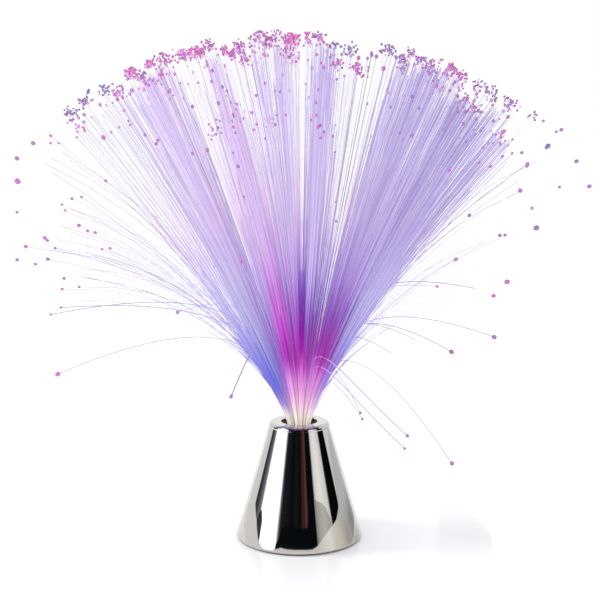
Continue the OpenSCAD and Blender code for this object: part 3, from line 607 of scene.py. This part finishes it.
def fibre_light_group():
    """A fibre's light: near the bundle magenta, violet or blue by Tint, and far out by Shade.

    Far out Shade 0 is grey, 0.14 blue, 0.5 lavender and 0.9 pink, and 1 pales to the tip. The eighths of Grain lighten
    or darken strands near the bundle, and its remainder each fibre.
    """
    tree, given, out = new_group(
        "Fibre light", {"Along": 0.0, "Tint": 0.5, "Shade": 0.5, "Grain": 0.5}, {"Colour": "Color", "Light": "Color"})
    tint, shade, grain = (given.outputs[name] for name in ("Tint", "Shade", "Grain"))
    share = math_node(tree, "DIVIDE", given.outputs["Along"], COLOUR_LENGTH)
    near = [
        (0.0, 222, 212, 200), (0.045, 220, 208, 200), (0.0625, 221, 198, 206), (0.078, 222, 186, 208),
        (0.1, 218, 172, 208), (0.125, 210, 150, 204), (0.16, 204, 132, 204), (0.195, 180, 82, 184),
        (0.22, 160, 46, 164)]
    warm = display_ramp(tree, share, near + [
        (0.27, 176, 52, 180), (0.32, 192, 78, 198), (0.395, 196, 106, 206), (0.5, 202, 134, 214)])
    violet = display_ramp(tree, share, near + [
        (0.27, 148, 36, 162), (0.32, 124, 58, 168), (0.36, 126, 80, 180), (0.41, 144, 112, 200),
        (0.5, 164, 144, 212)])
    blue = display_ramp(tree, share, [
        (0.0, 222, 214, 206), (0.045, 216, 208, 208), (0.08, 132, 118, 198), (0.12, 102, 106, 200),
        (0.17, 114, 118, 204), (0.25, 148, 146, 211), (0.32, 174, 168, 217), (0.395, 184, 177, 219),
        (0.5, 188, 180, 222)])
    to_violet = math_node(tree, "MULTIPLY", tint, 2.0, clamp=True)
    to_blue = math_node(tree, "MULTIPLY_ADD", tint, 2.0, -1.0, clamp=True)
    to_blue = math_node(tree, "MULTIPLY", to_blue, math_node(tree, "MULTIPLY_ADD", share, 4.0, 0.5), clamp=True)
    colour = mix_colour(tree, to_blue, mix_colour(tree, to_violet, warm, violet), blue)
    far_colour = display_ramp(tree, shade, [
        (0.0, 146, 142, 158), (0.05, 152, 146, 176), (0.08, 158, 148, 192), (0.14, 164, 152, 204),
        (0.26, 178, 164, 213), (0.5, 194, 180, 222), (0.75, 208, 184, 226), (1.0, 216, 180, 222)])
    pale = math_node(tree, "MULTIPLY", fade(tree, shade, 0.92, 0.97), fade(tree, share, 0.5, 0.78))
    far_colour = mix_colour(tree, pale, far_colour, srgb(237, 236, 239))
    strand = math_node(tree, "MULTIPLY", math_node(tree, "SUBTRACT", grain, 0.5),
                       math_node(tree, "MULTIPLY_ADD", share, -2.2, 1.15, clamp=True))
    strand = math_node(tree, "MULTIPLY", strand, math_node(tree, "MULTIPLY_ADD", tint, -0.65, 1.0))
    single = math_node(tree, "FRACT", math_node(tree, "MULTIPLY", grain, 8.0))
    single = math_node(tree, "MULTIPLY", math_node(tree, "SUBTRACT", single, 0.5), 0.36)
    own_light = math_node(tree, "ADD", single, math_node(tree, "ADD", strand, 1.0))
    mixed = mix_colour(tree, fade(tree, share, 0.4, 0.6), colour, far_colour)
    shaded = mix_colour(tree, 1.0, mixed, own_light, "MULTIPLY")
    dim = ramp(tree, share, [(0.0, grey(0.8)), (0.05, WHITE), (0.2, WHITE), (0.4, grey(0.9))])
    set_inputs(tree, out, Colour=shaded, Light=mix_colour(tree, 1.0, shaded, dim, "MULTIPLY"))
    return tree


def fibre_material():
    """Fibre: cream at the sleeve, then pink, magenta and purple light, fading to lavender, with blue at the edges."""
    group = fibre_light_group()
    material, tree, shader = new_material("lit fibre")
    values = {name.capitalize(): add(tree, "ShaderNodeAttribute", attribute_name=name).outputs["Fac"]
              for name in ("along", "tint", "shade", "grain")}
    glow = use_group(tree, group, **values)
    base = mix_colour(tree, 1.0, glow.outputs["Colour"], grey(0.62), "MULTIPLY")
    set_inputs(tree, shader, Base_Color=base, Emission_Color=glow.outputs["Light"], Emission_Strength=0.64,
               Roughness=0.3, Specular_IOR_Level=0.35)
    return material


def bead_material():
    """Bead: a clear drop lit from its fibre, mostly magenta and pink, some purple and a few blue, with a painted pale
    highlight in the middle and painted dark shade at the rim.
    """
    material, tree, shader = new_material("lit bead")
    hue = add(tree, "ShaderNodeAttribute", attribute_name="hue").outputs["Fac"]
    colour = display_ramp(tree, hue, [
        (0.0, 210, 14, 164), (0.2, 196, 58, 182), (0.4, 180, 76, 184), (0.58, 152, 76, 176), (0.75, 132, 88, 178),
        (0.83, 124, 88, 166), (0.87, 122, 40, 122), (0.91, 116, 66, 128), (0.95, 122, 112, 150),
        (0.98, 70, 86, 182), (1.0, 56, 74, 178)])
    facing = add(tree, "ShaderNodeLayerWeight").outputs["Facing"]
    # Painted light: a pale painted highlight where the bead faces the view, darkening to painted shade at its rim
    clear = mix_colour(tree, 0.2, colour, srgb(250, 214, 240))
    edge = mix_colour(tree, 1.0, colour, (0.24, 0.13, 0.28, 1.0), "MULTIPLY")
    middle = mix_colour(tree, math_node(tree, "MULTIPLY", facing, 2.4, clamp=True), clear, colour)
    deep = mix_colour(tree, math_node(tree, "MULTIPLY_ADD", facing, 2.4, -0.7, clamp=True), middle, edge)
    set_inputs(tree, shader, Base_Color=deep, Emission_Color=deep, Emission_Strength=0.2, Roughness=0.12,
               Coat_Weight=0.5, Coat_Roughness=0.05)
    return material


def hue_of(rng, fibre):
    """A bead's place on the hue ramp: its knot's own, or else mostly magenta at the left and purple at the right."""
    if fibre.hue is not None:
        return float(np.clip(fibre.hue, 0, 1))
    side = fibre.points[3][0] / 0.17
    if rng.random() < 0.012 + 0.1 * max(abs(side) - 0.7, 0):
        return 0.98 + 0.02 * rng.random()
    return float(np.clip(0.1 + rng.random() * 0.6 + 0.15 * max(side, 0), 0, 0.94))


STORE = {"fibres": []}


def tubes_of(name, fibres, parts, settings, material):
    """Draws these fibres as one object and keeps them for the beads."""
    curves = [fibre.curve(parts) for fibre in fibres]
    widths = [(settings.root_width * min(1, fibre.width * 1.3), settings.tip_width * fibre.width) for fibre in fibres]
    shades = np.clip([(fibre.tint, fibre.shade, fibre.grain) for fibre in fibres], 0, 1)
    STORE["fibres"] += list(zip(fibres, curves))
    return show(name, tube_mesh(name, curves, widths, shades, [fibre.stretch for fibre in fibres]), material)


# ---------- cards round the lamp ----------


# The cards' radius and how far they reach round the lamp; then their upper edges in mm by turn
CARD_RADIUS = 0.12
CARD_TURN = 128
FLOOR = ((-180, 0.3), (180, 0.3))
CARD_TOPS = (
    (-128, 70), (-110, 60), (-107, 41), (-104, 30), (-97, 26), (-90, 24), (-83, 22), (-76, 18), (-69, 14), (-61, 13),
    (-50, 14), (-38, 18), (-28, 21), (0, 22), (21, 21), (28, 22), (40, 26), (56, 28), (71, 28), (83, 32), (87, 40),
    (90, 52), (100, 66), (128, 70),
)
# The black and the beige card stand on the pale one, and show where they are higher
BLACK_CARD_TOPS = (
    (-84, 10), (-82, 26), (-79, 32), (-75, 32), (-70, 27), (-67, 11), (-40, 11), (-37, 22), (-33, 27), (-29, 34),
    (-25, 37), (13, 36), (22.4, 48), (27.6, 56), (28, 70), (29, 70), (29.5, 10),
)
BEIGE_CARD_TOPS = ((29, 10), (29.5, 55), (36, 51), (45, 48), (52, 43), (58, 34), (63, 24))
# Each card's name, lower and upper edge and scene linear colours by turn
CARDS = (
    ("low_card", FLOOR, CARD_TOPS, (
        (-110, 0.97, 0.95, 0.92), (-60, 0.95, 0.92, 0.88), (-20, 0.9, 0.86, 0.81), (10, 0.84, 0.8, 0.75),
        (30, 0.9, 0.86, 0.8), (52, 1.14, 1.1, 1.04), (60, 0.92, 0.88, 0.81), (73, 0.83, 0.78, 0.71),
        (84, 0.61, 0.57, 0.51), (90, 0.52, 0.48, 0.45), (96, 0.56, 0.54, 0.53), (104, 0.43, 0.43, 0.43),
        (114, 0.37, 0.37, 0.38), (122, 0.5, 0.5, 0.52))),
    ("black_card", CARD_TOPS, BLACK_CARD_TOPS, (
        (-80, 0.04, 0.04, 0.045), (-66, 0.09, 0.09, 0.095), (-36, 0.004, 0.006, 0.008), (28, 0.002, 0.0035, 0.006))),
    ("beige_card", CARD_TOPS, BEIGE_CARD_TOPS, (
        (29, 0.3, 0.29, 0.26), (35, 0.56, 0.55, 0.49), (45, 0.7, 0.69, 0.63), (52, 0.62, 0.61, 0.57),
        (62, 0.5, 0.49, 0.45))),
)


def card_mesh(name, bottoms, tops):
    """A card round the lamp between two edges."""
    turns = np.linspace(-CARD_TURN, CARD_TURN, 2 * CARD_TURN + 1)
    lows, highs = np.interp(turns, *zip(*bottoms)) * MM, np.interp(turns, *zip(*tops)) * MM
    way = np.radians(turns)
    ring = np.stack([CARD_RADIUS * np.sin(way), -CARD_RADIUS * np.cos(way)], 1)
    verts = [(x, y, z) for edge in (lows, highs) for (x, y), z in zip(ring, edge)]
    count = len(turns)
    faces = [(i, i + 1, i + 1 + count, i + count) for i in range(count - 1)
             if min(highs[i] - lows[i], highs[i + 1] - lows[i + 1]) > 0]
    mesh = bpy.data.meshes.new(name)
    mesh.from_pydata(verts, [], faces)
    return mesh


def card_material(name, tones):
    """A card's glow by turn; the low card turns grey high up at the right."""
    material, tree, shader = new_material(name.replace("_", " "))
    share, height = turn_share(tree, "Object")
    tone = ramp(tree, share, [(share_at(degrees), (*colour, 1.0)) for degrees, *colour in tones])
    if name == "low_card":
        high = math_node(tree, "MULTIPLY", fade(tree, height, 0.012, 0.028), fade(tree, share, 0.7, 0.73))
        tone = mix_colour(tree, high, tone, (0.7, 0.7, 0.71, 1.0))
    set_inputs(tree, shader, Emission_Color=tone, Emission_Strength=1.0, Base_Color=BLACK, Specular_IOR_Level=0.0)
    return material


# ---------- operators ----------


class LAMP_OT_cone(bpy.types.Operator):
    """Plates the cone base"""

    bl_idname = "lamp.cone"
    bl_label = "Plate the cone"

    def execute(self, context):
        chrome = worn_material("dark chrome plate", (0.60, 0.59, 0.575, 1.0), 0.035, metallic=1.0, grain_scale=60.0,
                               grain_height=0.006, mottle=0.03)
        dress(chrome, "cone_shell")
        return {"FINISHED"}


class LAMP_OT_black_parts(bpy.types.Operator):
    """Finishes the black mouldings and the feet"""

    bl_idname = "lamp.black_parts"
    bl_label = "Finish the black mouldings"

    def execute(self, context):
        moulded = worn_material("black moulding", (0.018, 0.018, 0.02, 1.0), 0.55, grain_scale=1600.0,
                                grain_height=0.5)
        smooth = worn_material("black socket", (0.012, 0.012, 0.013, 1.0), 0.38, grain_scale=700.0)
        knob = worn_material("switch knob", (0.03, 0.03, 0.034, 1.0), 0.42, grain_scale=1200.0, grain_height=0.3)
        rubber = worn_material("foot rubber", (0.03, 0.03, 0.03, 1.0), 0.8, grain_scale=2200.0, grain_height=0.6)
        dress(moulded, "base_plate", "battery_door")
        dress(smooth, "neck_collar", "ferrule")
        dress(knob, "switch_knob")
        dress(rubber, "rubber_feet")
        return {"FINISHED"}


class LAMP_OT_electrics(bpy.types.Operator):
    """Finishes the light source, board, wires, cells and fixings"""

    bl_idname = "lamp.electrics"
    bl_label = "Finish the electrics"

    def execute(self, context):
        for tint, colour in (("red", srgb(226, 60, 52)), ("green", srgb(60, 190, 80)), ("blue", srgb(60, 90, 230))):
            epoxy = worn_material(f"{tint} epoxy", colour, 0.08, grain_scale=300.0, grain_height=0.02,
                                  Emission_Color=colour, Emission_Strength=1.5, Coat_Weight=0.6)
            dress(epoxy, f"led_{tint}")
        for name, colour, roughness, metallic, *nodes in (
            ("white reflector", srgb(240, 240, 236), 0.25, 0.0, "light_cup"),
            ("solder mask", srgb(22, 96, 52), 0.3, 0.0, "circuit_board"),
            ("chip package", srgb(38, 38, 40), 0.6, 0.0, "controller_chip"),
            ("resistor lacquer", srgb(206, 178, 128), 0.35, 0.0, "resistors"),
            ("polished fibre ends", srgb(238, 226, 222), 0.15, 0.0, "bundle_core"),
            ("zinc plate", (0.62, 0.62, 0.64, 1.0), 0.28, 1.0, "small_screws", "base_screws"),
            ("nickel plate", (0.7, 0.69, 0.65, 1.0), 0.2, 1.0, "battery_springs", "contact_plates"),
            ("tinned case", (0.58, 0.58, 0.6, 1.0), 0.35, 1.0, "switch_body"),
            ("red insulation", srgb(196, 28, 24), 0.4, 0.0, "wire_red"),
            ("black insulation", srgb(28, 28, 30), 0.4, 0.0, "wire_black"),
            ("yellow insulation", srgb(226, 190, 44), 0.4, 0.0, "switch_wires"),
        ):
            dress(worn_material(name, colour, roughness, metallic, grain_height=0.15), *nodes)
        dress(self.cell_material(), "battery_1", "battery_2", "battery_3")
        return {"FINISHED"}

    @staticmethod
    def cell_material():
        """A plain cell sleeve: blue, with a silver band at each end."""
        material = worn_material("cell sleeve", srgb(40, 92, 160), 0.3, metallic=0.6, grain_scale=400.0)
        tree = material.node_tree
        shader = tree.nodes["Principled BSDF"]
        split = add(tree, "ShaderNodeSeparateXYZ")
        set_inputs(tree, split, Vector=add(tree, "ShaderNodeTexCoord").outputs["Object"])
        reach = math_node(tree, "ABSOLUTE", split.outputs["Y"])
        band = math_node(tree, "GREATER_THAN", reach, 15.5 * MM)
        blue = shader.inputs["Base Color"].links[0].from_socket
        set_inputs(tree, shader, Base_Color=mix_colour(tree, band, blue, (0.6, 0.6, 0.62, 1.0)))
        return material


class LAMP_OT_fibres(bpy.types.Operator):
    """Draws the spray of lit fibres"""

    bl_idname = "lamp.fibres"
    bl_label = "Draw the fibres"

    def execute(self, context):
        settings = context.scene.lamp_fibres
        material = fibre_material()
        STORE["fibres"].clear()
        ribbons = ribbon_fibres(settings)
        half = len(ribbons) // 2
        for name, fibres, parts in (
            ("ribbons_left", sum(ribbons[:half], []), 15),
            ("ribbons_right", sum(ribbons[half:], []), 15),
            ("knot_fibres", knot_fibres(settings), 13),
            ("single_fibres", single_fibres(settings), 17),
            ("stray_fibres", stray_fibres(settings), 26),
        ):
            piece = tubes_of(name, fibres, parts, settings, material)
            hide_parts("fibre_spray")
        return {"FINISHED"}


class LAMP_OT_beads(bpy.types.Operator):
    """Sets the lit beads on the fibres' tips"""

    bl_idname = "lamp.beads"
    bl_label = "Set the beads"

    def execute(self, context):
        settings = context.scene.lamp_beads
        rng = np.random.default_rng(context.scene.lamp_fibres.seed + 4)
        if not STORE["fibres"]:
            raise RuntimeError("draw the fibres before the beads")
        places, sizes, hues = [], [], []
        for fibre, curve in STORE["fibres"]:
            size = settings.width * fibre.bead * (1 + settings.spread * rng.uniform(-1, 1))
            hue = hue_of(rng, fibre)
            if fibre.bead <= 0:
                continue
            way = curve[-1] - curve[-2]
            places.append((curve[-1], way / np.linalg.norm(way)))
            sizes.append(size)
            hues.append(hue)
        beads = show("tip_beads", bead_mesh("tip_beads", places, sizes, hues), bead_material())
        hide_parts("fibre_spray")
        return {"FINISHED"}


class LAMP_OT_studio(bpy.types.Operator):
    """Sets the table, the light tent and the camera"""

    bl_idname = "lamp.studio"
    bl_label = "Set the studio"

    def execute(self, context):
        settings = context.scene.lamp_studio
        self.table(settings)
        self.tent(context)
        self.cards()
        self.lights()
        self.camera(context, settings)
        context.scene.view_settings.view_transform = "Standard"
        return {"FINISHED"}

    @staticmethod
    def table(settings):
        """A wide pale table with a faint gloss."""
        half = settings.table_width / 2
        mesh = bpy.data.meshes.new("table_top")
        mesh.from_pydata([(-half, -half, 0), (half, -half, 0), (half, half, 0), (-half, half, 0)], [], [(0, 1, 2, 3)])
        material, tree, shader = new_material("pale table")
        cloud = add(tree, "ShaderNodeTexNoise")
        set_inputs(tree, cloud, Scale=3)
        rough = math_node(tree, "MULTIPLY_ADD", cloud.outputs[0], 0.06, 0.16)
        set_inputs(tree, shader, Roughness=rough, Base_Color=(0.93, 0.93, 0.925, 1.0), Specular_IOR_Level=0.35)
        mesh.materials.append(material)
        table = new_object("table_top", mesh)

    @staticmethod
    def tent(context):
        """White to the camera and to matte surfaces; to polished ones a ring of white and black studio panels."""
        world = bpy.data.worlds.new("light tent")
        world.use_nodes = True
        context.scene.world = world
        tree = world.node_tree
        share, height = turn_share(tree, "Generated")
        panels = ramp(tree, share, [(share_at(degrees), tone) for degrees, tone in (
            (-180, grey(1.15)), (-125, grey(0.98)), (-112, grey(0.92)), (-110, cold(0.03)), (-101, cold(0.09)),
            (-91, grey(0.3)), (-87, grey(1.9)), (-45, grey(1.75)), (-42, grey(0.26)), (-38.5, cold(0.02)),
            (-16, cold(0.004)), (-8, cold(0.012)), (3, cold(0.004)), (6.5, (0.05, 0.02, 0.018, 1.0)),
            (9, (0.075, 0.028, 0.024, 1.0)), (11, (0.045, 0.018, 0.016, 1.0)), (14, (0.15, 0.055, 0.047, 1.0)),
            (17, (0.13, 0.05, 0.042, 1.0)), (19, cold(0.004)), (34, cold(0.004)), (38, grey(1.0, 0.01)),
            (50, grey(1.22, 0.02)), (68, grey(0.94, 0.02)), (71, grey(0.004)), (95, grey(0.002)),
            (97, grey(0.95)), (120, grey(0.95, -0.01)), (180, grey(1.15)))])
        high = math_node(tree, "SUBTRACT", height, 0.72, clamp=True)
        high = math_node(tree, "MULTIPLY", high, 12.0, clamp=True)
        panels = mix_colour(tree, high, panels, grey(0.06))
        light = add(tree, "ShaderNodeLightPath")
        colour = mix_colour(tree, light.outputs["Is Glossy Ray"], (1.01, 1.01, 1.015, 1.0), panels)
        colour = mix_colour(tree, light.outputs["Is Camera Ray"], colour, WHITE)
        set_inputs(tree, tree.nodes["Background"], Color=colour)

    @staticmethod
    def cards():
        """Low cards that only polished surfaces see: a pale one at the foot, and a black and a beige one on it."""
        for name, bottoms, tops, tones in CARDS:
            mesh = card_mesh(name, bottoms, tops)
            mesh.materials.append(card_material(name, tones))
            thing = new_object(name, mesh)
            for kind in ("camera", "diffuse", "transmission", "volume_scatter", "shadow"):
                setattr(thing, f"visible_{kind}", False)

    @staticmethod
    def lights():
        """One broad key from the left that throws the shadow to the right, and one fill from above."""
        for name, place, aim, size, power in (
            ("key", (-1.15, 0.05, 0.62), (0.05, 0, 0.03), 0.42, 7.0),
            ("top", (0.0, -0.2, 1.7), (0, 0, 0), 1.6, 6.0),
        ):
            lamp = bpy.data.lights.new(name, "AREA")
            lamp.energy = power
            lamp.size = size
            thing = new_object(name, lamp)
            thing.location = place
            thing.rotation_euler = (Vector(aim) - Vector(place)).to_track_quat("-Z", "Y").to_euler()
            thing.visible_glossy = False

    @staticmethod
    def camera(context, settings):
        """The photograph's viewpoint."""
        lens = bpy.data.cameras.new("photo camera")
        lens.lens = settings.lens
        lens.sensor_width = 36.0
        lens.shift_x = 0.0013
        lens.clip_end = 50.0
        camera = new_object("photo camera", lens)
        camera.location = (0, -settings.distance, settings.height)
        camera.rotation_euler = (math.pi / 2 - settings.tilt, 0, 0)
        context.scene.camera = camera


class LAMP_PT_panel(bpy.types.Panel):
    """The lamp's steps in order, with their settings"""

    bl_label = "Fibre lamp"
    bl_space_type = "VIEW_3D"
    bl_region_type = "UI"
    bl_category = "Fibre lamp"

    def draw(self, context):
        layout = self.layout
        for settings, title in (("lamp_fibres", "Fibres"), ("lamp_beads", "Beads"), ("lamp_studio", "Studio")):
            group = getattr(context.scene, settings)
            box = layout.box()
            box.label(text=title)
            for name in group.bl_rna.properties.keys():
                if name not in ("rna_type", "name"):
                    box.prop(group, name)
        for operator in OPERATORS:
            layout.operator(operator.bl_idname)


OPERATORS = (LAMP_OT_cone, LAMP_OT_black_parts, LAMP_OT_electrics, LAMP_OT_fibres, LAMP_OT_beads, LAMP_OT_studio)
GROUPS = (("lamp_fibres", FibreSettings), ("lamp_beads", BeadSettings), ("lamp_studio", StudioSettings))


def register():
    for _, settings in GROUPS:
        bpy.utils.register_class(settings)
    for thing in (*OPERATORS, LAMP_PT_panel):
        bpy.utils.register_class(thing)
    for name, settings in GROUPS:
        setattr(bpy.types.Scene, name, PointerProperty(type=settings))


def unregister():
    for name, _ in GROUPS:
        delattr(bpy.types.Scene, name)
    for thing in (LAMP_PT_panel, *reversed(OPERATORS)):
        bpy.utils.unregister_class(thing)
    for _, settings in reversed(GROUPS):
        bpy.utils.unregister_class(settings)


def main():
    register()
    bpy.ops.lamp.cone()
    bpy.ops.lamp.black_parts()
    bpy.ops.lamp.electrics()
    bpy.ops.lamp.fibres()
    bpy.ops.lamp.beads()
    bpy.ops.lamp.studio()


if __name__ == "__main__":
    main()
